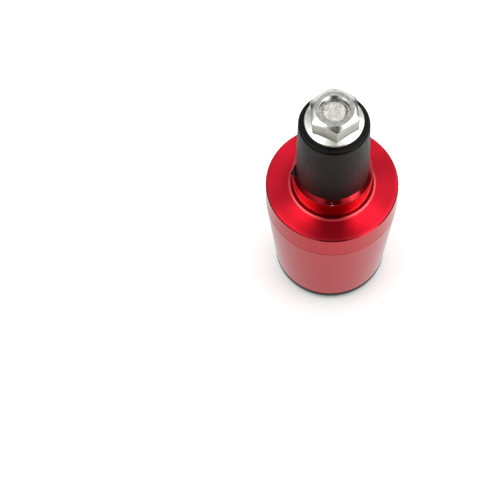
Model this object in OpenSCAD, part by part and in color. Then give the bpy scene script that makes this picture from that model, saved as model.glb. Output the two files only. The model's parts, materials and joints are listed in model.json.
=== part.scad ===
// Bar end weight for a motorbike handlebar.
// A turned aluminium body stands on the flat face of its cap, and its rubber plug points up.
// The long socket screw pulls the flange nut down, and the nut squeezes the rubber tight in the bar.

/* [Cap] */
// Diameter of the cap's rim
rim_d = 27.7; // [25:0.1:31]
// Height of the rim below the sleeve
rim_h = 3.2; // [2.6:0.1:5]
// Radius of the rim's outer edge
rim_round = 1.5; // [0.5:0.1:2]
// Diameter of the hole that takes the screw's head and the key
key_hole_d = 10.6; // [10.3:0.1:12.5]
// Width of the chamfer at the mouth of the key hole
mouth_chamfer = 0.9; // [0.2:0.1:1.4]
// Diameter of the cap's hub inside the sleeve
hub_d = 17; // [15.5:0.1:20]
// Thickness of the hub's floor below the screw's head
hub_floor = 2.8; // [2:0.1:5]

/* [Tapered sleeve] */
// Height of the sleeve
sleeve_h = 26.1; // [21:0.1:40]
// Width of the edge break beside the seam
seam_break = 0.12; // [0.05:0.01:0.3]

/* [Shoulder ring] */
// Diameter of the shoulder ring and of the sleeve's wide end
body_d = 32.4; // [30:0.1:38]
// Height of the shoulder ring's band
band_h = 7.1; // [5:0.1:12]
// Width of the edge break round the shoulder face
shoulder_break = 0.3; // [0.1:0.05:0.8]
// Diameter of the collar, whose chamfer narrows to the plug and centres the body on the bar
collar_d = 19.5; // [18.8:0.1:22]
// Height of the collar above the shoulder face
collar_h = 7.3; // [5:0.1:12]
// Radius of the fillet at the foot of the collar
foot_fillet = 1; // [0.3:0.1:1.6]
// Diameter of the ring's spigot inside the sleeve
spigot_d = 15; // [12:0.1:19]
// Length of the spigot
spigot_h = 5; // [3:0.1:7]

/* [Rubber plug] */
// Diameter of the plug's straight end, which fits in the bar
plug_d = 17.5; // [16.2:0.1:18]
// Length of the plug
plug_h = 21.4; // [17:0.05:30]
// Length of the plug's straight end
plug_straight_h = 9; // [5:0.5:14]
// Diameter of the plug's narrow end under the nut
plug_tip_d = 16.9; // [15.2:0.1:17.4]
// Radius of the plug's edge under the nut
plug_round = 0.7; // [0.3:0.1:1]

/* [Flange nut] */
// Width of the nut across its flats
nut_af = 10.8; // [10:0.1:11.4]
// Height of the nut
nut_h = 6.3; // [5:0.1:8]
// Diameter of the nut's flange
flange_d = 14.1; // [13:0.1:15]
// Thickness of the flange's edge
flange_edge_h = 1.1; // [0.6:0.05:1.6]
// Diameter of the nut's flat top
nut_face_d = 9.3; // [8.6:0.1:9.9]
// Slope of the flange's top
flange_slope = 22; // [12:1:30]
// Slope of the chamfer on the nut's corners
nut_chamfer_slope = 30; // [20:1:40]
// Width of the chamfer at each end of the nut's thread
nut_countersink = 0.65; // [0.2:0.05:0.9]
// Turn of the nut about its screw
nut_turn = -87; // [-180:1:180]

/* [Socket screw] */
// Outer diameter of the screw's thread
screw_d = 5.9; // [5:0.05:6.3]
// Diameter of the screw's head
head_d = 10; // [8.6:0.1:10]
// Height of the screw's head
head_h = 6; // [4.5:0.1:7]
// Depth of the head's top in the key hole
head_recess = 2.8; // [1.6:0.1:4]
// Width of the key socket across its flats
socket_af = 5; // [3:0.1:6]
// Depth of the key socket
socket_h = 3; // [2:0.1:4]
// Width of the head's edge chamfer
head_chamfer = 0.5; // [0.1:0.05:0.9]
// Depth of the screw's end in the nut
end_recess = 1.1; // [0.5:0.1:2.5]
// Width of the chamfer at the screw's end
end_chamfer = 0.35; // [0.1:0.05:0.6]
// Turn of the key socket about the screw
socket_turn = 20; // [0:1:60]

/* [Fits] */
// Gap round the hub and the spigot in the sleeve
seat_gap = 0.04; // [0.02:0.01:0.1]
// Gap past the end of the hub and of the spigot
end_gap = 0.3; // [0.1:0.1:1]
// Gap round the screw in the cap, the body and the plug
screw_gap = 0.3; // [0.1:0.05:0.5]
// Gap between the thread of the screw and of the nut
thread_gap = 0.03; // [0.02:0.01:0.06]

/* [Hidden] */
$fn = 96;
BORE_OVERRUN = 1;
ARC_STEPS = 5;
BLACK = "#1b1b1d";
RED = "#c4182c";
RUBBER = "#262423";
ZINC = "#c9c9c2";

rim_r = rim_d / 2;
body_r = body_d / 2;
collar_r = collar_d / 2;
plug_r = plug_d / 2;
plug_tip_r = plug_tip_d / 2;
collar_chamfer = collar_r - plug_r;
screw_hole_r = screw_d / 2 + screw_gap;
nut_bore_r = screw_d / 2 + thread_gap;

seam_z = rim_h + sleeve_h;
shoulder_z = seam_z + band_h;
plug_z = shoulder_z + collar_h;
nut_z = plug_z + plug_h;
top_z = nut_z + nut_h;
head_seat_z = head_recess + head_h;
hub_end_z = head_seat_z + hub_floor;
spigot_end_z = seam_z - spigot_h;
screw_end_z = top_z - end_recess;

// Points of a round from one angle to another about a centre in the profile
function round_edge(centre, r, from, to) = [
    for (i = [0 : ARC_STEPS])
        let (a = from + (to - from) * i / ARC_STEPS)
        [centre[0] + r * cos(a), centre[1] + r * sin(a)]
];

// A bore on the axis that runs past both of its ends
module through_bore(r, from_z, to_z) {
    translate([0, 0, from_z - BORE_OVERRUN])
        cylinder(r = r, h = to_z - from_z + 2 * BORE_OVERRUN);
}

// A blind bore from one level up or down to its floor, with an open mouth
module pocket(r, floor_z, mouth_z) {
    low = min(floor_z, mouth_z - (floor_z < mouth_z ? 0 : BORE_OVERRUN));
    high = max(floor_z, mouth_z + (floor_z < mouth_z ? BORE_OVERRUN : 0));
    translate([0, 0, low]) cylinder(r = r, h = high - low);
}

module end_cap() color(BLACK) difference() {
    union() {
        rotate_extrude() polygon(concat(
            [[0, 0]],
            round_edge([rim_r - rim_round, rim_round], rim_round, -90, 0),
            [[rim_r, rim_h], [0, rim_h]]));
        translate([0, 0, rim_h / 2]) cylinder(d = hub_d, h = hub_end_z - rim_h / 2);
    }
    pocket(key_hole_d / 2, head_seat_z, 0);
    through_bore(screw_hole_r, head_seat_z, hub_end_z);
    translate([0, 0, -mouth_chamfer])
        cylinder(r1 = key_hole_d / 2 + 2 * mouth_chamfer, r2 = key_hole_d / 2, h = 2 * mouth_chamfer);
}

module tapered_sleeve() color(RED) difference() {
    rotate_extrude() polygon([
        [0, rim_h],
        [rim_r - seam_break, rim_h],
        [rim_r, rim_h + seam_break],
        [body_r, seam_z - seam_break],
        [body_r - seam_break, seam_z],
        [0, seam_z]]);
    through_bore(screw_hole_r, rim_h, seam_z);
    pocket(hub_d / 2 + seat_gap, hub_end_z + end_gap, rim_h);
    pocket(spigot_d / 2 + seat_gap, spigot_end_z - end_gap, seam_z);
}

module shoulder_ring() color(RED) difference() {
    union() {
        rotate_extrude() polygon(concat(
            [[0, seam_z],
             [body_r - seam_break, seam_z],
             [body_r, seam_z + seam_break],
             [body_r, shoulder_z - shoulder_break],
             [body_r - shoulder_break, shoulder_z]],
            round_edge([collar_r + foot_fillet, shoulder_z + foot_fillet], foot_fillet, -90, -180),
            [[collar_r, plug_z - collar_chamfer],
             [plug_r, plug_z],
             [0, plug_z]]));
        translate([0, 0, spigot_end_z]) cylinder(d = spigot_d, h = spigot_h + band_h / 2);
    }
    through_bore(screw_hole_r, spigot_end_z, plug_z);
}

module rubber_plug() color(RUBBER) difference() {
    union() {
        translate([0, 0, plug_z]) cylinder(r = plug_r, h = plug_straight_h);
        translate([0, 0, plug_z + plug_straight_h]) rotate_extrude() polygon(concat(
            [[0, 0], [plug_r, 0]],
            round_edge([plug_tip_r - plug_round, plug_h - plug_straight_h - plug_round],
                plug_round, 0, 90),
            [[0, plug_h - plug_straight_h]]));
    }
    through_bore(screw_hole_r, plug_z, nut_z);
}

module flange_nut() {
    hex_r = nut_af / 2 / cos(30);
    flange_r = flange_d / 2;
    cone_h = (flange_r - nut_af / 2) * tan(flange_slope);
    corner_drop = (hex_r - nut_face_d / 2) * tan(nut_chamfer_slope);
    color(ZINC) translate([0, 0, nut_z]) rotate([0, 0, nut_turn]) difference() {
        union() {
            cylinder(r = flange_r, h = flange_edge_h);
            translate([0, 0, flange_edge_h]) cylinder(r1 = flange_r, r2 = nut_af / 2, h = cone_h);
            intersection() {
                cylinder(r = hex_r, h = nut_h, $fn = 6);
                rotate_extrude() polygon([
                    [0, 0],
                    [hex_r, 0],
                    [hex_r, nut_h - corner_drop],
                    [nut_face_d / 2, nut_h],
                    [0, nut_h]]);
            }
        }
        through_bore(nut_bore_r, 0, nut_h);
        translate([0, 0, nut_h - nut_countersink])
            cylinder(r1 = nut_bore_r, r2 = nut_bore_r + 2 * nut_countersink, h = 2 * nut_countersink);
        translate([0, 0, -nut_countersink])
            cylinder(r1 = nut_bore_r + 2 * nut_countersink, r2 = nut_bore_r, h = 2 * nut_countersink);
    }
}

module socket_screw() color(ZINC) difference() {
    union() {
        rotate_extrude() polygon([
            [0, head_recess],
            [head_d / 2 - head_chamfer, head_recess],
            [head_d / 2, head_recess + head_chamfer],
            [head_d / 2, head_seat_z],
            [0, head_seat_z]]);
        translate([0, 0, head_seat_z]) cylinder(d = screw_d, h = screw_end_z - end_chamfer - head_seat_z);
        translate([0, 0, screw_end_z - end_chamfer])
            cylinder(r1 = screw_d / 2, r2 = screw_d / 2 - end_chamfer, h = end_chamfer);
    }
    translate([0, 0, head_recess - BORE_OVERRUN]) rotate([0, 0, socket_turn])
        cylinder(d = socket_af / cos(30), h = socket_h + BORE_OVERRUN, $fn = 6);
}

end_cap();
tapered_sleeve();
shoulder_ring();
rubber_plug();
flange_nut();
socket_screw();
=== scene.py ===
"""Bar end weight for a motorbike handlebar, standing on its cap on a white floor."""
import json
import math

import bpy
from mathutils import Matrix, Vector


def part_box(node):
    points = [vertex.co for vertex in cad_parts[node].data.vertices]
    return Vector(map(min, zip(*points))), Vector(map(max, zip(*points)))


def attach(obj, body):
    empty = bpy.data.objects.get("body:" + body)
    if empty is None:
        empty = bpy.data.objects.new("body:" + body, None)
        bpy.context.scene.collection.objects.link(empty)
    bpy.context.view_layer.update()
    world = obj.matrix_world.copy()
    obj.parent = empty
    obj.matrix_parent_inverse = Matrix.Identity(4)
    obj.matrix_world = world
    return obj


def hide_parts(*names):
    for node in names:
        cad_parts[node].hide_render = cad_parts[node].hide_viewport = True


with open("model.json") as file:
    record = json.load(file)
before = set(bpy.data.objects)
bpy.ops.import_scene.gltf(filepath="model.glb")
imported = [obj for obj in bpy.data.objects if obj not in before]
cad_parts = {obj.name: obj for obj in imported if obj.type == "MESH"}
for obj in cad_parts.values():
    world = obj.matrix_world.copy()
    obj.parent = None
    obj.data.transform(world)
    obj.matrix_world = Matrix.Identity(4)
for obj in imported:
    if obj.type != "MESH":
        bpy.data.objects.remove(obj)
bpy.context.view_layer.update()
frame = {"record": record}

# Sizes from the frame, in metres
MM = 0.001
mounts = {m["name"]: m for m in frame["record"]["mounts"]}
cap_box, sleeve_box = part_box("end_cap"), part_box("tapered_sleeve")
plug_box, nut_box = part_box("rubber_plug"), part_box("flange_nut")
screw_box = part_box("socket_screw")
rim_r = cap_box[1].x
hub_end_z = cap_box[1].z
rim_z = sleeve_box[0].z
seam_z = sleeve_box[1].z
body_r = sleeve_box[1].x
shoulder_z = mounts["shoulder_face"]["pos_m"][2]
plug_z = plug_box[0].z
plug_r = plug_box[1].x
nut_z = nut_box[0].z
nut_top_z = nut_box[1].z
head_r = screw_box[1].x
head_z = screw_box[0].z
screw_end_z = screw_box[1].z

# Sizes of the details that the boxes don't give
TURN_STEPS = 160
ARC_STEPS = 8
RIM_ROUND = 2.3 * MM
KEY_HOLE_R = 5.3 * MM
MOUTH_CHAMFER = 0.9 * MM
HUB_R = 8.5 * MM
HEAD_SEAT_Z = 8.8 * MM
SCREW_HOLE_R = 3.25 * MM
SEAT_GAP = 0.04 * MM
END_GAP = 0.3 * MM
EDGE_BREAK = 0.14 * MM
CROWN_WIDTH = 0.85 * MM
CROWN_ANGLE = 13
CROWN_STEP = 0.24 * MM
COLLAR_R = 9.75 * MM
COLLAR_BREAK = 0.3 * MM
CHAMFER_ANGLE = 45
FOOT_FILLET = 1.0 * MM
SPIGOT_R = 7.5 * MM
SPIGOT_END_Z = seam_z - 5 * MM
PLUG_STRAIGHT_H = 9 * MM
PLUG_TIP_R = 8.45 * MM
PLUG_ROUND = 0.7 * MM
NUT_AF = 10.8 * MM
FLANGE_R = 7.05 * MM
FLANGE_EDGE_H = 1.1 * MM
FLANGE_ROUND = 0.25 * MM
FLANGE_SLOPE = 22
FLANGE_OVERLAP = 0.4 * MM
NUT_FACE_R = 4.65 * MM
NUT_CHAMFER_SLOPE = math.radians(30)
NUT_TURN = math.radians(-87)
NUT_BORE_R = 2.98 * MM
NUT_COUNTERSINK = 0.65 * MM
NUT_EDGE_ROUND = 0.09 * MM
THREAD_CORE_R = 2.45 * MM
THREAD_R = 2.95 * MM
THREAD_PITCH = 1.0 * MM
THREAD_ROOT_SHARE = 0.40
THREAD_CREST_SHARE = 0.08
THREAD_OVERLAP = 0.02 * MM
THREAD_RUN_OUT = 0.6 * MM
NUT_CREST_R = 2.5 * MM
SCREW_THREAD_H = 24 * MM
SCREW_END_CHAMFER = 0.28 * MM
SCREW_END_DISH = 0.12 * MM
DISH_SHARE = 0.55
DISH_CENTRE_SHARE = 0.7
SOCKET_AF = 5 * MM
SOCKET_H = 3 * MM
SOCKET_TURN = math.radians(20)
HEAD_CHAMFER = 0.5 * MM
# Azimuth, radius, height and size of each lump of the rubber flash, in degrees and millimetres
FLASH_LUMPS = (
    (172, 8.85, 43.60, 0.26), (175, 9.05, 43.40, 0.36), (178, 9.15, 43.30, 0.42), (181, 9.40, 43.05, 0.46),
    (184, 9.10, 43.30, 0.50), (183, 9.75, 42.90, 0.34), (184, 10.05, 42.78, 0.24), (187, 9.25, 43.15, 0.44),
    (190, 9.10, 43.30, 0.34), (193, 8.95, 43.50, 0.26))
FLASH_GRAIN = 0.07 * MM
FLASH_RAGGED = 0.6 * FLASH_GRAIN
# Azimuth, radius, height and size of each small dent of the nick, in degrees and millimetres
NICK_DENTS = (
    (-93.3, 9.86, 42.78, 0.27), (-91.3, 9.90, 42.72, 0.22), (-95.6, 9.90, 42.72, 0.20),
    (-94.2, 9.32, 43.22, 0.12))
MERGE = 0.001 * MM
# Edges sharper than these angles stay crisp, in degrees
TURNED_CREASE = 30
STEEL_CREASE = 20
BEVEL_CREASE = 24
# Where one finish ends and another begins: the upward share of the faces' normals, the height of
# the flange's cone, the margin inside the flange's edge, and the share of the collar's fillet's
# height above which its red is painted dark as shade
SHOULDER_RISE = 0.96
FLATS_RISE = 0.05
CONE_RISE = (0.90, 0.95)
CONE_TOP = 3 * MM
FLATS_MARGIN = 0.3 * MM
CREASE_SHARE = 0.35
# Scales of the fine patterns in the finishes. A higher one gives a finer pattern
RING_SCALE = 9000.0
DRIFT_SCALE = 260.0
DUST_SCALE = 700.0
RUBBER_GRAIN_SCALE = 5000.0
CLOUD_SCALE = 900.0
METAL_GRAIN_SCALE = 3500.0
QUARTER_TURN = 0.25


def deselect_all():
    bpy.ops.object.select_all(action="DESELECT")


def pick_faces(obj, wanted):
    """Selects the faces whose centre and normal pass the test, in edit mode."""
    bpy.context.view_layer.objects.active = obj
    bpy.ops.object.mode_set(mode="EDIT")
    bpy.ops.mesh.select_mode(type="FACE")
    bpy.ops.mesh.select_all(action="DESELECT")
    bpy.ops.object.mode_set(mode="OBJECT")
    for face in obj.data.polygons:
        face.select = wanted(face.center, face.normal)
    bpy.ops.object.mode_set(mode="EDIT")


def finish_faces(obj, material, wanted):
    """Gives some faces of a finished piece another finish."""
    deselect_all()
    obj.select_set(True)
    obj.data.materials.append(material)
    pick_faces(obj, wanted)
    obj.active_material_index = len(obj.data.materials) - 1
    bpy.ops.object.material_slot_assign()
    bpy.ops.object.mode_set(mode="OBJECT")


def arc(centre, radius, start, end, steps=ARC_STEPS):
    """Points of a round in the profile, between two angles in degrees."""
    points = []
    for i in range(steps + 1):
        a = math.radians(start + (end - start) * i / steps)
        points.append((centre[0] + radius * math.cos(a), centre[1] + radius * math.sin(a)))
    return points


def draw_path(name, path):
    """Draws a line through radius and height points, and leaves it in edit mode."""
    deselect_all()
    bpy.ops.mesh.primitive_plane_add(size=MM, location=(0, 0, 0))
    obj = bpy.context.object
    obj.name = name
    bpy.ops.object.mode_set(mode="EDIT")
    bpy.ops.mesh.select_mode(type="VERT")
    bpy.ops.mesh.select_all(action="SELECT")
    bpy.ops.mesh.merge(type="CENTER")
    bpy.ops.transform.translate(value=(path[0][0], 0, path[0][1]))
    for here, there in zip(path, path[1:]):
        move = (there[0] - here[0], 0, there[1] - here[1])
        bpy.ops.mesh.extrude_region_move(TRANSFORM_OT_translate={"value": move})
    bpy.ops.mesh.select_all(action="SELECT")
    return obj


def turned(name, profile, closed=True, steps=TURN_STEPS):
    """Turns a profile of radius and height points about the axis, as on a lathe."""
    obj = draw_path(name, profile + [profile[0]] if closed else profile)
    bpy.ops.mesh.spin(steps=steps, angle=math.tau, center=(0, 0, 0), axis=(0, 0, 1))
    bpy.ops.mesh.select_all(action="SELECT")
    bpy.ops.mesh.remove_doubles(threshold=MERGE)
    bpy.ops.mesh.normals_make_consistent(inside=False)
    bpy.ops.object.mode_set(mode="OBJECT")
    return obj


def apply_modifier(obj, kind, **settings):
    """Adds a modifier with its settings and makes its result the mesh."""
    bpy.context.view_layer.objects.active = obj
    modifier = obj.modifiers.new(kind.lower(), kind)
    for key, value in settings.items():
        setattr(modifier, key, value)
    bpy.ops.object.modifier_apply(modifier=modifier.name)


def cut(obj, cutter, operation="DIFFERENCE", **settings):
    """Cuts a piece with another mesh, or joins the two, and removes the cutter."""
    apply_modifier(obj, "BOOLEAN", object=cutter, operation=operation, solver="EXACT", **settings)
    bpy.data.objects.remove(cutter, do_unlink=True)


def smooth(obj, angle):
    """Smooth shading up to an angle in degrees, with flat faces kept flat."""
    deselect_all()
    obj.select_set(True)
    bpy.context.view_layer.objects.active = obj
    bpy.ops.object.shade_smooth_by_angle(angle=math.radians(angle))
    apply_modifier(obj, "WEIGHTED_NORMAL", keep_sharp=True, weight=100)


def hexagon(name, across_flats, low, high, turn):
    """A hexagon bar with one corner at the given angle from +X."""
    deselect_all()
    bpy.ops.mesh.primitive_cylinder_add(
        vertices=6, radius=across_flats / 2 / math.cos(math.pi / 6), depth=high - low,
        location=(0, 0, (low + high) / 2), rotation=(0, 0, turn - math.pi / 2))
    obj = bpy.context.object
    obj.name = name
    bpy.ops.object.transform_apply(location=True, rotation=True, scale=True)
    return obj


def ball(name, azimuth, radius, height, size, subdivisions):
    """A small ball at an azimuth in degrees, with its radius, height and size in millimetres."""
    a = math.radians(azimuth)
    deselect_all()
    bpy.ops.mesh.primitive_ico_sphere_add(subdivisions=subdivisions, radius=size * MM, location=(
        radius * MM * math.cos(a), radius * MM * math.sin(a), height * MM))
    obj = bpy.context.object
    obj.name = name
    return obj


def finish_piece(obj, slot, material, *nodes, angle=TURNED_CREASE):
    """Gives a piece its shading, finish and body, and hides the solid that it stands for."""
    smooth(obj, angle)
    obj.data.materials.clear()
    obj.data.materials.append(material)
    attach(obj, "root")
    if nodes:
        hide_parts(*nodes)
    return obj


# Camera
CAMERA_PLACE = Vector((-20.57, -257.84, 503.34)) * MM
CAMERA_TILT = math.radians(27.22)
CAMERA_ROLL = math.radians(-1.98)
FOCAL_PIXELS = 2186
FRAME_PIXELS = 500
SENSOR = 36
NEAR_CLIP, FAR_CLIP = 0.01, 50


def make_camera():
    """The photo's camera, which looks steeply down on the nut."""
    bpy.ops.object.camera_add()
    camera = bpy.context.object
    camera.name = "photo_camera"
    camera.data.sensor_fit = "HORIZONTAL"
    camera.data.sensor_width = SENSOR
    camera.data.lens = FOCAL_PIXELS * SENSOR / FRAME_PIXELS
    camera.data.clip_start = NEAR_CLIP
    camera.data.clip_end = FAR_CLIP
    camera.matrix_world = (
        Matrix.Translation(CAMERA_PLACE)
        @ Matrix.Rotation(CAMERA_TILT, 4, "X")
        @ Matrix.Rotation(CAMERA_ROLL, 4, "Z"))
    bpy.context.scene.camera = camera


# Shader helpers
def new_material(name):
    """An empty material with its output node."""
    material = bpy.data.materials.new(name)
    material.use_nodes = True
    nodes = material.node_tree.nodes
    nodes.clear()
    out = nodes.new("ShaderNodeOutputMaterial")
    return material, nodes, material.node_tree.links, out


def add(nodes, kind, **inputs):
    """Adds a node and sets its inputs by name."""
    node = nodes.new(kind)
    for key, value in inputs.items():
        node.inputs[key.replace("_", " ")].default_value = value
    return node


def maths(nodes, links, operation, a, b=None):
    """One sum on sockets or plain numbers."""
    node = nodes.new("ShaderNodeMath")
    node.operation = operation
    for socket, value in zip(node.inputs, (a, b)):
        if value is None:
            continue
        if isinstance(value, (int, float)):
            socket.default_value = value
        else:
            links.new(value, socket)
    return node.outputs[0]


def product(nodes, links, first, *others):
    """Multiplies several sockets."""
    for other in others:
        first = maths(nodes, links, "MULTIPLY", first, other)
    return first


def principled(name):
    """A new material with its principled shader."""
    material, nodes, links, out = new_material(name)
    shader = nodes.new("ShaderNodeBsdfPrincipled")
    links.new(shader.outputs[0], out.inputs[0])
    return material, nodes, links, shader


def mix_shaders(nodes, links, factor, first, second):
    """The first shader where the factor is 0 and the second where it is 1."""
    mix = nodes.new("ShaderNodeMixShader")
    links.new(factor, mix.inputs[0])
    links.new(first.outputs[0], mix.inputs[1])
    links.new(second.outputs[0], mix.inputs[2])
    return mix


def turning_marks_group():
    """Fine rings that a lathe leaves, and a slow drift between them, from the radius and height."""
    group = bpy.data.node_groups.new("turning_marks", "ShaderNodeTree")
    face = group.interface
    for name, default in (("Ring Scale", RING_SCALE), ("Drift Scale", DRIFT_SCALE)):
        socket = face.new_socket(name, in_out="INPUT", socket_type="NodeSocketFloat")
        socket.default_value = default
    for name in ("Rings", "Drift"):
        face.new_socket(name, in_out="OUTPUT", socket_type="NodeSocketFloat")
    nodes, links = group.nodes, group.links
    into, out = nodes.new("NodeGroupInput"), nodes.new("NodeGroupOutput")
    place = nodes.new("ShaderNodeTexCoord")
    split = nodes.new("ShaderNodeSeparateXYZ")
    links.new(place.outputs["Object"], split.inputs[0])
    x2 = product(nodes, links, split.outputs["X"], split.outputs["X"])
    y2 = product(nodes, links, split.outputs["Y"], split.outputs["Y"])
    radius = maths(nodes, links, "SQRT", maths(nodes, links, "ADD", x2, y2))
    flat = nodes.new("ShaderNodeCombineXYZ")
    links.new(radius, flat.inputs["X"])
    links.new(split.outputs["Z"], flat.inputs["Y"])
    for scale, output in (("Ring Scale", "Rings"), ("Drift Scale", "Drift")):
        noise = add(nodes, "ShaderNodeTexNoise", Detail=3.0, Roughness=0.6)
        links.new(flat.outputs[0], noise.inputs["Vector"])
        links.new(into.outputs[scale], noise.inputs["Scale"])
        links.new(noise.outputs["Fac"], out.inputs[output])
    return group


def speckle_group():
    """Small cloudy spots all over a surface."""
    group = bpy.data.node_groups.new("speckle", "ShaderNodeTree")
    face = group.interface
    for name, default in (("Scale", CLOUD_SCALE), ("Low", 0.3), ("High", 0.7)):
        socket = face.new_socket(name, in_out="INPUT", socket_type="NodeSocketFloat")
        socket.default_value = default
    face.new_socket("Mask", in_out="OUTPUT", socket_type="NodeSocketFloat")
    nodes, links = group.nodes, group.links
    into, out = nodes.new("NodeGroupInput"), nodes.new("NodeGroupOutput")
    place = nodes.new("ShaderNodeTexCoord")
    noise = add(nodes, "ShaderNodeTexNoise", Detail=4.0, Roughness=0.6)
    links.new(place.outputs["Object"], noise.inputs["Vector"])
    links.new(into.outputs["Scale"], noise.inputs["Scale"])
    ramp = nodes.new("ShaderNodeMapRange")
    links.new(noise.outputs["Fac"], ramp.inputs["Value"])
    links.new(into.outputs["Low"], ramp.inputs["From Min"])
    links.new(into.outputs["High"], ramp.inputs["From Max"])
    links.new(ramp.outputs["Result"], out.inputs["Mask"])
    return group


def place_group(nodes, group, **values):
    """Places a shared node group and sets its inputs by name."""
    node = nodes.new("ShaderNodeGroup")
    node.node_tree = group
    for key, value in values.items():
        node.inputs[key.replace("_", " ")].default_value = value
    return node


def spread(nodes, links, source, low, high, start=0.0, end=1.0):
    """Turns a value between start and end into one between low and high."""
    node = nodes.new("ShaderNodeMapRange")
    links.new(source, node.inputs["Value"])
    node.inputs["From Min"].default_value = start
    node.inputs["From Max"].default_value = end
    node.inputs["To Min"].default_value = low
    node.inputs["To Max"].default_value = high
    return node.outputs["Result"]


def tint(nodes, links, source, low, high):
    """Mixes two colours by a mask."""
    node = nodes.new("ShaderNodeMix")
    node.data_type = "RGBA"
    links.new(source, node.inputs["Factor"])
    node.inputs["A"].default_value = (*low, 1)
    node.inputs["B"].default_value = (*high, 1)
    return node.outputs["Result"]


def bump(nodes, links, height, distance):
    """Normals of a fine relief, whose depth is in metres."""
    node = add(nodes, "ShaderNodeBump", Strength=1.0, Distance=distance)
    links.new(height, node.inputs["Height"])
    return node.outputs["Normal"]


def anodised(name, groups, dark, bright, rough, coat, stretch=0.5, marks_height=0.003 * MM,
             ring_scale=RING_SCALE, coat_ior=1.37, coat_rough=0.08, edge_tint=(1.0, 0.75, 0.75, 1)):
    """Dyed oxide on turned aluminium: tinted metal under a clear glossy layer."""
    material, nodes, links, shader = principled(name)
    marks = place_group(nodes, groups["turning_marks"], Ring_Scale=ring_scale, Drift_Scale=DRIFT_SCALE)
    links.new(tint(nodes, links, marks.outputs["Drift"], dark, bright), shader.inputs["Base Color"])
    links.new(spread(nodes, links, marks.outputs["Rings"], *rough), shader.inputs["Roughness"])
    links.new(bump(nodes, links, marks.outputs["Rings"], marks_height), shader.inputs["Normal"])
    tangent = nodes.new("ShaderNodeTangent")
    tangent.direction_type = "RADIAL"
    tangent.axis = "Z"
    links.new(tangent.outputs[0], shader.inputs["Tangent"])
    shader.inputs["Metallic"].default_value = 1.0
    shader.inputs["Specular Tint"].default_value = edge_tint
    shader.inputs["Anisotropic"].default_value = stretch
    shader.inputs["Anisotropic Rotation"].default_value = QUARTER_TURN
    shader.inputs["Coat Weight"].default_value = coat
    shader.inputs["Coat Roughness"].default_value = coat_rough
    shader.inputs["Coat IOR"].default_value = coat_ior
    return material


def rubber(name, groups, dark, dusty, rough, grain_height):
    """Matt moulded rubber with a little dust."""
    material, nodes, links, shader = principled(name)
    dust = place_group(nodes, groups["speckle"], Scale=DUST_SCALE, Low=0.35, High=0.75)
    grain = place_group(nodes, groups["speckle"], Scale=RUBBER_GRAIN_SCALE, Low=0.3, High=0.7)
    links.new(tint(nodes, links, dust.outputs["Mask"], dark, dusty), shader.inputs["Base Color"])
    links.new(spread(nodes, links, dust.outputs["Mask"], *rough), shader.inputs["Roughness"])
    links.new(bump(nodes, links, grain.outputs["Mask"], grain_height), shader.inputs["Normal"])
    shader.inputs["Specular IOR Level"].default_value = 0.15
    return material


def bare_metal(name, groups, dark, bright, rough, grain_height, grain_scale=METAL_GRAIN_SCALE):
    """Plated or cut metal: cloudy in colour and gloss, with a fine grain."""
    material, nodes, links, shader = principled(name)
    cloud = place_group(nodes, groups["speckle"], Scale=CLOUD_SCALE, Low=0.3, High=0.7)
    grain = place_group(nodes, groups["speckle"], Scale=grain_scale, Low=0.3, High=0.7)
    links.new(tint(nodes, links, cloud.outputs["Mask"], dark, bright), shader.inputs["Base Color"])
    links.new(spread(nodes, links, cloud.outputs["Mask"], *rough), shader.inputs["Roughness"])
    links.new(bump(nodes, links, grain.outputs["Mask"], grain_height), shader.inputs["Normal"])
    shader.inputs["Metallic"].default_value = 1.0
    return material


# Pieces
def make_cap():
    """Rim with a rounded edge, chamfered key hole, and the hub inside the sleeve."""
    profile = arc((rim_r - RIM_ROUND, RIM_ROUND), RIM_ROUND, -90, 0)
    profile += arc((rim_r - EDGE_BREAK, rim_z - EDGE_BREAK), EDGE_BREAK, 0, 90, steps=3)
    profile += [(HUB_R, rim_z), (HUB_R, hub_end_z), (SCREW_HOLE_R, hub_end_z),
                (SCREW_HOLE_R, HEAD_SEAT_Z), (KEY_HOLE_R, HEAD_SEAT_Z)]
    profile += [(KEY_HOLE_R, MOUTH_CHAMFER), (KEY_HOLE_R + MOUTH_CHAMFER, 0)]
    return turned("cap", profile)


def make_sleeve():
    """Tapered sleeve with the holes that take the cap's hub and the ring's spigot."""
    hub_hole = HUB_R + SEAT_GAP
    spigot_hole = SPIGOT_R + SEAT_GAP
    profile = arc((rim_r - EDGE_BREAK, rim_z + EDGE_BREAK), EDGE_BREAK, -90, 0, steps=4)
    profile += arc((body_r - EDGE_BREAK, seam_z - EDGE_BREAK), EDGE_BREAK, 0, 90, steps=4)
    profile += [(spigot_hole, seam_z), (spigot_hole, SPIGOT_END_Z - END_GAP),
                (SCREW_HOLE_R, SPIGOT_END_Z - END_GAP), (SCREW_HOLE_R, hub_end_z + END_GAP),
                (hub_hole, hub_end_z + END_GAP), (hub_hole, rim_z)]
    return turned("sleeve", profile)


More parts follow.
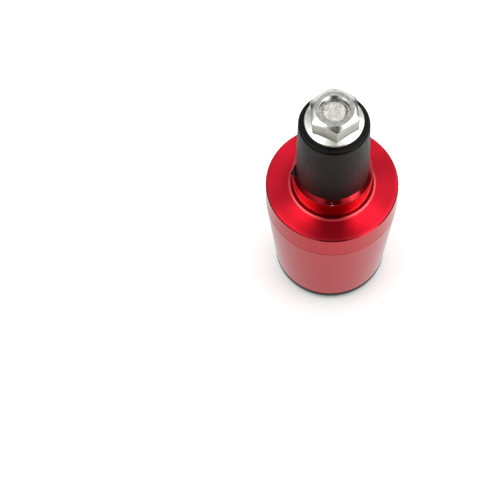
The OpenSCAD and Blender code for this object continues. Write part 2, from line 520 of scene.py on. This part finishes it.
def make_ring():
    """Band, flat shoulder with a crowned edge, filleted collar, and the spigot in the sleeve."""
    profile = arc((body_r - EDGE_BREAK, seam_z + EDGE_BREAK), EDGE_BREAK, -90, 0, steps=4)
    crown_r = CROWN_WIDTH / math.sin(math.radians(CROWN_ANGLE))
    crown_centre = (body_r - CROWN_STEP - CROWN_WIDTH, shoulder_z - crown_r)
    crown = arc(crown_centre, crown_r, 90 - CROWN_ANGLE, 90, steps=6)
    profile += [(body_r, crown[0][1] - CROWN_STEP)] + crown
    profile += arc((COLLAR_R + FOOT_FILLET, shoulder_z + FOOT_FILLET), FOOT_FILLET, -90, -180)
    chamfer_z = plug_z - (COLLAR_R - plug_r)
    tangent = COLLAR_BREAK * math.tan(math.radians(CHAMFER_ANGLE / 2))
    profile += arc((COLLAR_R - COLLAR_BREAK, chamfer_z - tangent), COLLAR_BREAK, 0, CHAMFER_ANGLE, steps=5)
    profile += [(plug_r, plug_z), (SCREW_HOLE_R, plug_z), (SCREW_HOLE_R, SPIGOT_END_Z),
                (SPIGOT_R, SPIGOT_END_Z), (SPIGOT_R, seam_z)]
    return turned("ring", profile)


def on_shoulder(centre, normal):
    """The flat shoulder with its crowned edge."""
    return normal.z > SHOULDER_RISE and centre.z < plug_z - MM


def in_fillet(centre, low, high):
    """The fillet at the collar's foot, between two shares of its height."""
    radius = math.hypot(centre.x, centre.y)
    share = (centre.z - shoulder_z) / FOOT_FILLET
    return COLLAR_R < radius < COLLAR_R + FOOT_FILLET and low < share < high


def in_fillet_foot(centre, normal):
    """The low part of the fillet, which catches the light."""
    return in_fillet(centre, 0, CREASE_SHARE)


def in_painted_crease_shade(centre, normal):
    """The high part of the fillet, where the red is painted dark as shade."""
    return in_fillet(centre, CREASE_SHARE, 1)


def make_plug():
    """Rubber plug, straight where it fits in the bar and narrower under the nut."""
    profile = arc((plug_r - EDGE_BREAK, plug_z + EDGE_BREAK), EDGE_BREAK, -90, 0, steps=4)
    profile += [(plug_r, plug_z + PLUG_STRAIGHT_H)]
    profile += arc((PLUG_TIP_R - PLUG_ROUND, nut_z - PLUG_ROUND), PLUG_ROUND, 0, 90)
    profile += [(SCREW_HOLE_R, nut_z), (SCREW_HOLE_R, plug_z)]
    return turned("plug", profile)


def add_flash(plug):
    """A small torn tongue of rubber that lies on the collar's chamfer at the left."""
    lumps = [ball("flash", *lump, subdivisions=3) for lump in FLASH_LUMPS]
    for lump in lumps:
        lump.select_set(True)
    bpy.context.view_layer.objects.active = lumps[0]
    bpy.ops.object.join()
    flash = bpy.context.object
    bpy.ops.object.transform_apply(location=True, rotation=True, scale=True)
    apply_modifier(flash, "REMESH", mode="VOXEL", voxel_size=FLASH_GRAIN)
    apply_modifier(flash, "SMOOTH", factor=0.6, iterations=8)
    bpy.ops.object.mode_set(mode="EDIT")
    bpy.ops.mesh.select_all(action="SELECT")
    bpy.ops.transform.vertex_random(offset=FLASH_RAGGED, seed=4)
    bpy.ops.object.mode_set(mode="OBJECT")
    apply_modifier(flash, "SMOOTH", factor=0.5, iterations=1)
    cut(plug, flash, "UNION")
    return plug


def nick(ring, material):
    """A small nick in the collar's top edge at the front, down to bare metal."""
    for place in NICK_DENTS:
        dent = ball("nick", *place, subdivisions=2)
        dent.data.materials.append(material)
        cut(ring, dent, material_mode="TRANSFER")


def make_nut():
    """Chamfered hexagon on a conical flange, with a countersunk hole."""
    corner_r = NUT_AF / 2 / math.cos(math.pi / 6)
    blank_r = corner_r + MM
    blank_drop = (blank_r - NUT_FACE_R) * math.tan(NUT_CHAMFER_SLOPE)
    nut = hexagon("nut", NUT_AF, nut_z, nut_top_z, NUT_TURN)
    blank = [(0, nut_z - MM), (blank_r, nut_z - MM), (blank_r, nut_top_z - blank_drop),
             (NUT_FACE_R, nut_top_z), (0, nut_top_z)]
    cut(nut, turned("nut_blank", blank, closed=False, steps=96), "INTERSECT")
    edge_z = nut_z + FLANGE_EDGE_H
    cone_z = edge_z + (FLANGE_R - NUT_AF / 2) * math.tan(math.radians(FLANGE_SLOPE))
    round_r = FLANGE_R - FLANGE_ROUND
    flange = [(0, nut_z)] + arc((round_r, nut_z + FLANGE_ROUND), FLANGE_ROUND, -90, 0, steps=4)
    flange += arc((round_r, edge_z - FLANGE_ROUND), FLANGE_ROUND, 0, 90 - FLANGE_SLOPE, steps=5)
    flange += [(NUT_AF / 2 - FLANGE_OVERLAP, cone_z), (0, cone_z)]
    cut(nut, turned("nut_flange", flange, closed=False, steps=128), "UNION")
    sink = NUT_BORE_R + NUT_COUNTERSINK
    hole = [(0, nut_z - MM), (sink + MM, nut_z - MM), (NUT_BORE_R, nut_z + NUT_COUNTERSINK),
            (NUT_BORE_R, nut_top_z - NUT_COUNTERSINK), (sink + MM, nut_top_z + MM), (0, nut_top_z + MM)]
    cut(nut, turned("nut_hole", hole, closed=False, steps=64))
    apply_modifier(nut, "BEVEL", width=NUT_EDGE_ROUND, segments=2, limit_method="ANGLE",
                   angle_limit=math.radians(BEVEL_CREASE))
    return nut


def on_flats(centre, normal):
    """The six flats of the nut."""
    radius = math.hypot(centre.x, centre.y)
    return abs(normal.z) < FLATS_RISE and NUT_BORE_R < radius < FLANGE_R - FLATS_MARGIN


def on_cone(centre, normal):
    """The sloping top of the nut's flange."""
    return CONE_RISE[0] < normal.z < CONE_RISE[1] and centre.z < nut_z + CONE_TOP


def make_screw():
    """Socket head, long shank and a cut end, with the key socket."""
    thread_z = screw_end_z - SCREW_THREAD_H
    end_r = THREAD_R - SCREW_END_CHAMFER
    profile = [(0, head_z), (head_r - HEAD_CHAMFER, head_z), (head_r, head_z + HEAD_CHAMFER),
               (head_r, HEAD_SEAT_Z), (THREAD_R, HEAD_SEAT_Z),
               (THREAD_R, thread_z), (THREAD_CORE_R, thread_z + THREAD_PITCH / 2),
               (THREAD_CORE_R, screw_end_z - 2 * SCREW_END_CHAMFER),
               (THREAD_R, screw_end_z - SCREW_END_CHAMFER)]
    profile += arc((end_r - EDGE_BREAK, screw_end_z - EDGE_BREAK), EDGE_BREAK, 30, 90, steps=3)
    profile += [(THREAD_CORE_R * DISH_SHARE, screw_end_z - SCREW_END_DISH),
                (0, screw_end_z - SCREW_END_DISH * DISH_CENTRE_SHARE)]
    screw = turned("screw", profile, closed=False)
    cut(screw, hexagon("socket_cut", SOCKET_AF, head_z - MM, head_z + SOCKET_H, SOCKET_TURN))
    return screw


def thread_ridge(name, root_r, crest_r, low, high, phase):
    """A helical ridge from its root radius to its crest, which starts part of a turn up."""
    half_root, half_crest = THREAD_ROOT_SHARE * THREAD_PITCH, THREAD_CREST_SHARE * THREAD_PITCH
    start = low + phase * THREAD_PITCH + half_root
    section = [(root_r, start - half_root), (crest_r, start - half_crest),
               (crest_r, start + half_crest), (root_r, start + half_root)]
    obj = draw_path(name, section + section[:1])
    bpy.ops.mesh.remove_doubles(threshold=MERGE)
    bpy.ops.object.mode_set(mode="OBJECT")
    turns = int((high - start) / THREAD_PITCH)
    apply_modifier(obj, "SCREW", axis="Z", angle=math.tau, screw_offset=THREAD_PITCH,
                   iterations=turns, steps=48, render_steps=48)
    bpy.ops.object.mode_set(mode="EDIT")
    bpy.ops.mesh.select_all(action="SELECT")
    bpy.ops.mesh.remove_doubles(threshold=MERGE)
    bpy.ops.mesh.fill_holes(sides=4)
    bpy.ops.mesh.select_all(action="SELECT")
    bpy.ops.mesh.normals_make_consistent(inside=False)
    bpy.ops.object.mode_set(mode="OBJECT")
    return obj


# Stage and light
FLOOR_SIZE = 4.0
# Every level below is given at places from 0 to 1: from left to right for SIDES and ACROSS, from
# the front to the back for DEPTH and BACK, and from the floor to the top for RISE.
# Levels of the tent that shiny surfaces show, and the level far behind the part
TENT_SIDES = ((0.0, 0.64), (0.32, 0.64), (0.40, 0.62), (0.60, 0.64), (0.68, 1.0), (1.0, 1.0))
TENT_DEPTH = ((0.0, 1.0), (0.74, 1.0), (0.80, 0.65), (1.0, 0.65))
TENT_RISE = ((0.0, 0.03), (0.28, 0.08), (0.36, 0.3), (0.5, 1.0), (1.0, 1.0))
TENT_BACK = ((0.0, 0.0), (0.86, 0.0), (0.93, 0.85), (1.0, 0.85))
TENT_STRENGTH = 1.6
# Dark gaps in the tent: a deep one low at the front and a weak one high at the back
GAP_ACROSS = ((0.0, 0.0), (0.28, 0.0), (0.38, 1.0), (0.62, 1.0), (0.73, 0.0), (1.0, 0.0))
GAP_DEPTH = ((0.0, 0.84), (0.12, 0.93), (0.28, 0.93), (0.37, 0.4), (0.43, 0.08), (0.64, 0.08),
             (0.70, 0.36), (0.76, 0.36), (0.84, 0.0), (1.0, 0.0))
CARD_RISE = ((0.0, 0.0), (0.25, 0.0), (0.32, 1.0), (1.0, 1.0))
# Bright cards in the tent: levels across, levels in depth, and how much brighter each card is
LEFT_CARD = (
    ((0.0, 0.0), (0.08, 0.0), (0.13, 1.0), (0.30, 1.0), (0.36, 0.0), (1.0, 0.0)),
    ((0.0, 0.0), (0.34, 0.0), (0.40, 1.0), (0.56, 1.0), (0.64, 0.15), (0.75, 0.1), (0.79, 0.0),
     (1.0, 0.0)),
    0.9)
RIGHT_CARD = (
    ((0.0, 0.0), (0.66, 0.0), (0.72, 1.0), (0.88, 1.0), (0.93, 0.0), (1.0, 0.0)),
    ((0.0, 0.0), (0.38, 0.0), (0.44, 1.0), (0.50, 1.0), (0.58, 0.5), (0.75, 0.35), (0.79, 0.0),
     (1.0, 0.0)),
    1.45)
NUT_CARD = (
    ((0.0, 0.0), (0.76, 0.0), (0.82, 1.0), (1.0, 1.0)),
    ((0.0, 0.0), (0.08, 0.0), (0.12, 1.0), (0.27, 1.0), (0.31, 0.0), (1.0, 0.0)),
    1.2)
# Levels of the soft room light on matt surfaces
ROOM_DEPTH = ((0.0, 0.32), (0.45, 0.5), (0.6, 1.0), (1.0, 1.0))
ROOM_RISE = ((0.0, 0.08), (0.5, 0.2), (0.8, 0.65), (0.95, 1.0), (1.0, 1.0))
ROOM_SIDES = ((0.0, 0.75), (0.40, 0.78), (0.60, 0.9), (1.0, 1.0))
ROOM_STRENGTH = 3.2
# The floor: its paint, the light that it adds for the camera, and its brightness in reflections,
# from the part outwards, behind the part, and from left to right. In reflections the floor is
# dimmer within about 4 cm of the part: a painted shadow
FLOOR_PAINT = (0.94, 0.94, 0.93, 1)
FLOOR_LIFT_COLOUR = (1, 1, 0.99, 1)
FLOOR_LIFT = 0.165
FLOOR_REFLECTION = 1.15
FLOOR_REACH = 0.5
FLOOR_GLOW_AND_PAINTED_SHADOW = ((0.0, 0.72), (0.04, 0.72), (0.09, 1.0), (0.2, 0.9), (0.6, 0.12), (1.0, 0.08))
FLOOR_BACK = ((0.0, 0.0), (0.56, 0.0), (0.70, 0.8), (1.0, 0.8))
FLOOR_SIDES = ((0.0, 0.75), (0.46, 0.78), (0.52, 0.95), (0.54, 1.0), (1.0, 1.0))
# Each lamp's name, azimuth and elevation in degrees, distance and size in metres, and watts
LAMPS = (
    ("left_softbox", -78, 52, 0.8, 0.45, 1.4),
    ("right_softbox", 74, 50, 0.8, 0.4, 1.2))


def levels(nodes, links, source, stops):
    """Grey levels at places from 0 to 1."""
    ramp = nodes.new("ShaderNodeValToRGB")
    elements = ramp.color_ramp.elements
    for element, (position, level) in zip(elements, (stops[0], stops[-1])):
        element.position = position
        element.color = (level, level, level, 1)
    for position, level in stops[1:-1]:
        elements.new(position).color = (level, level, level, 1)
    links.new(source, ramp.inputs[0])
    return ramp.outputs["Color"]


def make_floor():
    """White floor that keeps the object's shadow, and shows its own brightness in reflections, dimmed close
    to the part as a painted shadow.
    """
    deselect_all()
    bpy.ops.mesh.primitive_plane_add(size=FLOOR_SIZE, location=(0, 0, 0))
    floor = bpy.context.object
    floor.name = "floor"
    material, nodes, links, out = new_material("white_floor")
    paint = add(nodes, "ShaderNodeBsdfDiffuse", Color=FLOOR_PAINT)
    white = add(nodes, "ShaderNodeEmission", Strength=FLOOR_REFLECTION)
    place = nodes.new("ShaderNodeTexCoord")
    distance = nodes.new("ShaderNodeVectorMath")
    distance.operation = "LENGTH"
    links.new(place.outputs["Object"], distance.inputs[0])
    reach = spread(nodes, links, distance.outputs["Value"], 0.0, 1.0, 0.0, FLOOR_REACH)
    split = nodes.new("ShaderNodeSeparateXYZ")
    links.new(place.outputs["Object"], split.inputs[0])
    across = spread(nodes, links, split.outputs["X"], 0.0, 1.0, -FLOOR_REACH, FLOOR_REACH)
    # In reflections the floor is dimmer close to the part: a painted shadow.
    glow = product(nodes, links, levels(nodes, links, reach, FLOOR_GLOW_AND_PAINTED_SHADOW),
                   levels(nodes, links, across, FLOOR_SIDES))
    behind = spread(nodes, links, split.outputs["Y"], 0.0, 1.0, -FLOOR_REACH, FLOOR_REACH)
    glow = maths(nodes, links, "MAXIMUM", glow, levels(nodes, links, behind, FLOOR_BACK))
    links.new(glow, white.inputs["Color"])
    lift = add(nodes, "ShaderNodeEmission", Color=FLOOR_LIFT_COLOUR, Strength=FLOOR_LIFT)
    path = nodes.new("ShaderNodeLightPath")
    both = nodes.new("ShaderNodeAddShader")
    links.new(paint.outputs[0], both.inputs[0])
    links.new(lift.outputs[0], both.inputs[1])
    glossy = mix_shaders(nodes, links, path.outputs["Is Glossy Ray"], paint, white)
    seen = mix_shaders(nodes, links, path.outputs["Is Camera Ray"], glossy, both)
    links.new(seen.outputs[0], out.inputs[0])
    floor.data.materials.append(material)


def make_world():
    """A tent with cards and gaps for shiny metal, a soft room for matt surfaces, and white behind."""
    world = bpy.data.worlds.new("studio")
    bpy.context.scene.world = world
    world.use_nodes = True
    nodes, links = world.node_tree.nodes, world.node_tree.links
    nodes.clear()
    out = nodes.new("ShaderNodeOutputWorld")
    place = nodes.new("ShaderNodeTexCoord")
    split = nodes.new("ShaderNodeSeparateXYZ")
    links.new(place.outputs["Generated"], split.inputs[0])
    across = spread(nodes, links, split.outputs["X"], 0.0, 1.0, -1.0, 1.0)
    depth = spread(nodes, links, split.outputs["Y"], 0.0, 1.0, -1.0, 1.0)
    rise = split.outputs["Z"]
    level = product(nodes, links, levels(nodes, links, across, TENT_SIDES),
                    levels(nodes, links, depth, TENT_DEPTH), levels(nodes, links, rise, TENT_RISE))
    gap = product(nodes, links, levels(nodes, links, across, GAP_ACROSS),
                  levels(nodes, links, depth, GAP_DEPTH))
    level = product(nodes, links, level, maths(nodes, links, "SUBTRACT", 1.0, gap))
    level = maths(nodes, links, "MAXIMUM", level, levels(nodes, links, depth, TENT_BACK))
    for card_across, card_depth, gain in (LEFT_CARD, RIGHT_CARD, NUT_CARD):
        card = product(nodes, links, levels(nodes, links, across, card_across),
                       levels(nodes, links, depth, card_depth), levels(nodes, links, rise, CARD_RISE), gain)
        level = maths(nodes, links, "ADD", level, card)
    tent = add(nodes, "ShaderNodeBackground", Strength=TENT_STRENGTH)
    links.new(level, tent.inputs["Color"])
    room = add(nodes, "ShaderNodeBackground", Strength=ROOM_STRENGTH)
    soft = product(nodes, links, levels(nodes, links, depth, ROOM_DEPTH),
                   levels(nodes, links, rise, ROOM_RISE), levels(nodes, links, across, ROOM_SIDES))
    links.new(soft, room.inputs["Color"])
    white = add(nodes, "ShaderNodeBackground", Color=(1, 1, 1, 1), Strength=1.0)
    path = nodes.new("ShaderNodeLightPath")
    shiny = mix_shaders(nodes, links, path.outputs["Is Glossy Ray"], room, tent)
    seen = mix_shaders(nodes, links, path.outputs["Is Camera Ray"], shiny, white)
    links.new(seen.outputs[0], out.inputs[0])


def softbox(name, azimuth, elevation, distance, size, power):
    """A square lamp that faces the object, placed by its angles. Azimuth 0 is the camera's side."""
    a, e = math.radians(azimuth), math.radians(elevation)
    away = Vector((math.sin(a) * math.cos(e), -math.cos(a) * math.cos(e), math.sin(e)))
    bpy.ops.object.light_add(type="AREA", location=away * distance + Vector((0, 0, shoulder_z)))
    lamp = bpy.context.object
    lamp.name = name
    lamp.data.size = size
    lamp.data.energy = power
    lamp.rotation_mode = "QUATERNION"
    lamp.rotation_quaternion = away.to_track_quat("Z", "Y")


make_camera()
make_floor()
make_world()
for lamp in LAMPS:
    softbox(*lamp)
bpy.context.scene.view_settings.view_transform = "Standard"

groups = {"turning_marks": turning_marks_group(), "speckle": speckle_group()}
# The walls' red is darker than the shoulder's, though both are one dye: the dye's own red, darkened as
# painted shade on the sleeve, the band and the collar.
red_side_painted_shade = anodised(
    "red_side_painted_shade", groups, dark=(0.50, 0.004, 0.012), bright=(0.57, 0.006, 0.018), rough=(0.16, 0.22),
    coat=0.68)
red_face = anodised(
    "red_face", groups, dark=(0.62, 0.009, 0.024), bright=(0.72, 0.013, 0.035), rough=(0.33, 0.39),
    coat=0.24, stretch=1.0, marks_height=0.014 * MM, ring_scale=3600.0)
red_fillet = anodised(
    "red_fillet", groups, dark=(0.58, 0.006, 0.018), bright=(0.66, 0.009, 0.026), rough=(0.20, 0.26),
    coat=0.75, coat_ior=1.65, coat_rough=0.24)
# Painted shade: a much darker copy of the red for the high part of the collar's fillet, where the crease is
# in shade.
red_crease_painted_shade = anodised(
    "red_crease_painted_shade", groups, dark=(0.20, 0.002, 0.006), bright=(0.30, 0.003, 0.010), rough=(0.30, 0.40),
    coat=0.3)
black = anodised(
    "black_anodised", groups, dark=(0.012, 0.012, 0.013), bright=(0.022, 0.022, 0.024),
    rough=(0.26, 0.36), coat=0.25, edge_tint=(1, 1, 1, 1))
plug_rubber = rubber(
    "plug_rubber", groups, dark=(0.0010, 0.0006, 0.0005), dusty=(0.004, 0.0028, 0.0024),
    rough=(0.36, 0.5), grain_height=0.01 * MM)
bright_zinc = bare_metal(
    "bright_zinc", groups, dark=(0.50, 0.50, 0.47), bright=(0.69, 0.69, 0.65), rough=(0.16, 0.27),
    grain_height=0.004 * MM)
# The flats are rougher than the rest of the nut's zinc, and lighter and creamier: the lighter, creamier
# tone is a painted reflection of the bright floor.
matt_zinc_painted_reflection = bare_metal(
    "matt_zinc_painted_reflection", groups, dark=(0.66, 0.66, 0.58), bright=(0.84, 0.84, 0.75), rough=(0.40, 0.52),
    grain_height=0.006 * MM)
satin_zinc = bare_metal(
    "satin_zinc", groups, dark=(0.56, 0.56, 0.52), bright=(0.74, 0.74, 0.68), rough=(0.30, 0.42),
    grain_height=0.004 * MM)
cut_steel = bare_metal(
    "cut_steel", groups, dark=(0.46, 0.46, 0.43), bright=(0.72, 0.72, 0.67), rough=(0.26, 0.42),
    grain_height=0.09 * MM, grain_scale=1500.0)
bare_aluminium = bare_metal(
    "bare_aluminium", groups, dark=(0.50, 0.26, 0.28), bright=(0.75, 0.52, 0.54), rough=(0.35, 0.5),
    grain_height=0.02 * MM)

finish_piece(make_cap(), "black_anodised", black, "end_cap")
# The sleeve and the ring's band and collar take the red darkened as painted shade.
finish_piece(make_sleeve(), "red_anodised", red_side_painted_shade, "tapered_sleeve")
ring = finish_piece(make_ring(), "red_anodised", red_side_painted_shade, "shoulder_ring")
finish_faces(ring, red_face, on_shoulder)
finish_faces(ring, red_fillet, in_fillet_foot)
# The fillet's high part gets the red painted dark as shade.
finish_faces(ring, red_crease_painted_shade, in_painted_crease_shade)
nick(ring, bare_aluminium)
finish_piece(add_flash(make_plug()), "plug_rubber", plug_rubber, "rubber_plug")
nut = finish_piece(make_nut(), "zinc_steel", bright_zinc, "flange_nut", angle=STEEL_CREASE)
# The flats get the rougher zinc with the painted reflection.
finish_faces(nut, matt_zinc_painted_reflection, on_flats)
finish_faces(nut, satin_zinc, on_cone)
finish_piece(make_screw(), "zinc_steel", cut_steel, "socket_screw", angle=STEEL_CREASE)
nut_thread = thread_ridge(
    "nut_thread", NUT_BORE_R + THREAD_OVERLAP, NUT_CREST_R, nut_z, screw_end_z - THREAD_RUN_OUT,
    phase=0.0)
finish_piece(nut_thread, "zinc_steel", bright_zinc)
screw_thread = thread_ridge(
    "screw_thread", THREAD_CORE_R - THREAD_OVERLAP, THREAD_R, screw_end_z - SCREW_THREAD_H,
    screw_end_z - THREAD_RUN_OUT, phase=0.5)
finish_piece(screw_thread, "zinc_steel", bright_zinc)
